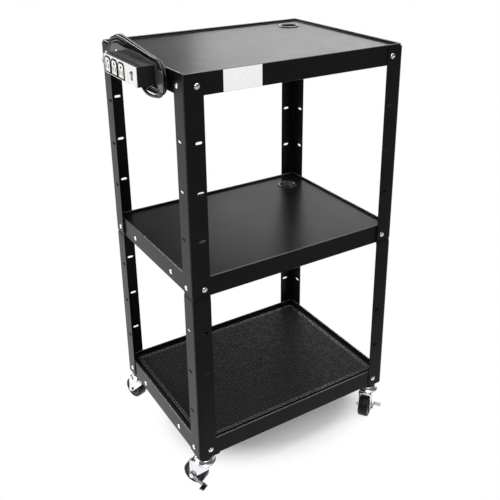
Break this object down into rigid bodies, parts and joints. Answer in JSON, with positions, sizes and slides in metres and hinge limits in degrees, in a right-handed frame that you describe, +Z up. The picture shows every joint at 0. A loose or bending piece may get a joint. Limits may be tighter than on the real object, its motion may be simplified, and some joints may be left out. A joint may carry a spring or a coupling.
{
  "type": "audio visual cart",
  "caption": "Steel audio visual cart: three recessed shelves on slotted angle legs, swivel casters with side brakes, outlet strip and wound mains lead.",
  "frame": {"origin": "middle of the base at floor level, measured without the mains lead and what is on it", "axes": "+Z up, +X to the cart's right seen from the front, the front faces -Y"},
  "size_m": [0.6944, 0.5192, 1.1585],
  "materials": {
    "steel": "satin black powder coat",
    "zinc": "bright zinc plate",
    "rubber": "matte black",
    "wheel_core": "moulded dark grey",
    "white_plastic": "white moulded",
    "black_plastic": "moulded black",
    "winder_coat": "grey powder coat",
    "cord_jacket": "smooth black vinyl",
    "plug_metal": "nickelled brass"
  },
  "bodies": {
    "frame": {"back_left_caster_bracket": "steel", "back_left_caster_kingpin": "zinc", "back_left_caster_race": "zinc", "back_left_lower_leg": "steel", "back_left_upper_leg": "steel", "back_right_caster_bracket": "steel", "back_right_caster_kingpin": "zinc", "back_right_caster_race": "zinc", "back_right_lower_leg": "steel", "back_right_upper_leg": "steel", "bottom_shelf": "steel", "cord_strain_relief": "cord_jacket", "front_left_caster_bracket": "steel", "front_left_caster_kingpin": "zinc", "front_left_caster_race": "zinc", "front_left_lower_leg": "steel", "front_left_upper_leg": "steel", "front_right_caster_bracket": "steel", "front_right_caster_kingpin": "zinc", "front_right_caster_race": "zinc", "front_right_lower_leg": "steel", "front_right_upper_leg": "steel", "middle_cable_grommet": "black_plastic", "middle_shelf": "steel", "outlet_faceplate": "white_plastic", "outlet_receptacle_1": "white_plastic", "outlet_receptacle_2": "white_plastic", "outlet_receptacle_3": "white_plastic", "plug_blade_1": "plug_metal", "plug_blade_2": "plug_metal", "plug_body": "cord_jacket", "plug_ground_pin": "plug_metal", "power_cord": "cord_jacket", "power_housing": "black_plastic", "ribbed_mat": "rubber", "top_cable_grommet": "black_plastic", "top_shelf": "steel", "winder_back_plate": "steel", "winder_back_post": "black_plastic", "winder_front_post": "black_plastic", "winder_plate": "winder_coat"},
    "front_left_swivel": {"front_left_caster_fork": "zinc", "front_left_caster_axle": "zinc"},
    "front_left_wheel": {"front_left_wheel_tyre": "rubber", "front_left_wheel_hub": "wheel_core"},
    "front_left_pedal": {"front_left_brake_pedal": "zinc"},
    "front_right_swivel": {"front_right_caster_fork": "zinc", "front_right_caster_axle": "zinc"},
    "front_right_wheel": {"front_right_wheel_tyre": "rubber", "front_right_wheel_hub": "wheel_core"},
    "front_right_pedal": {"front_right_brake_pedal": "zinc"},
    "back_left_swivel": {"back_left_caster_fork": "zinc", "back_left_caster_axle": "zinc"},
    "back_left_wheel": {"back_left_wheel_tyre": "rubber", "back_left_wheel_hub": "wheel_core"},
    "back_right_swivel": {"back_right_caster_fork": "zinc", "back_right_caster_axle": "zinc"},
    "back_right_wheel": {"back_right_wheel_tyre": "rubber", "back_right_wheel_hub": "wheel_core"},
    "rocker": {"rocker_switch": "black_plastic"}
  },
  "joints": [
    {"name": "front_left_swivel_turn", "type": "hinge", "parent": "frame", "child": "front_left_swivel", "pos_m": [-0.24844, -0.21568, 0.0745], "axis": [0, 0, 1], "continuous": true},
    {"name": "front_left_wheel_spin", "type": "hinge", "parent": "front_left_swivel", "child": "front_left_wheel", "pos_m": [-0.26219, -0.19187, 0.03175], "axis": [-0.866, -0.5, 0], "continuous": true},
    {"name": "front_left_pedal_lift", "type": "hinge", "parent": "front_left_swivel", "child": "front_left_pedal", "pos_m": [-0.26219, -0.19187, 0.03175], "axis": [-0.866, -0.5, 0], "range_deg": [0, 22]},
    {"name": "front_right_swivel_turn", "type": "hinge", "parent": "frame", "child": "front_right_swivel", "pos_m": [0.30916, -0.21568, 0.0745], "axis": [0, 0, 1], "continuous": true},
    {"name": "front_right_wheel_spin", "type": "hinge", "parent": "front_right_swivel", "child": "front_right_wheel", "pos_m": [0.28678, -0.23165, 0.03175], "axis": [0.5807, -0.8141, 0], "continuous": true},
    {"name": "front_right_pedal_lift", "type": "hinge", "parent": "front_right_swivel", "child": "front_right_pedal", "pos_m": [0.28678, -0.23165, 0.03175], "axis": [0.5807, -0.8141, 0], "range_deg": [0, 22]},
    {"name": "back_left_swivel_turn", "type": "hinge", "parent": "frame", "child": "back_left_swivel", "pos_m": [-0.24844, 0.19972, 0.0745], "axis": [0, 0, 1], "continuous": true},
    {"name": "back_left_wheel_spin", "type": "hinge", "parent": "back_left_swivel", "child": "back_left_wheel", "pos_m": [-0.25602, 0.22615, 0.03175], "axis": [-0.9613, -0.2756, 0], "continuous": true},
    {"name": "back_right_swivel_turn", "type": "hinge", "parent": "frame", "child": "back_right_swivel", "pos_m": [0.30916, 0.19972, 0.0745], "axis": [0, 0, 1], "continuous": true},
    {"name": "back_right_wheel_spin", "type": "hinge", "parent": "back_right_swivel", "child": "back_right_wheel", "pos_m": [0.28535, 0.21347, 0.03175], "axis": [-0.5, -0.866, 0], "continuous": true},
    {"name": "rocker_tip", "type": "hinge", "parent": "frame", "child": "rocker", "pos_m": [-0.33894, -0.13768, 1.1065], "axis": [0, 1, 0], "range_deg": [0, 24]}
  ]
}
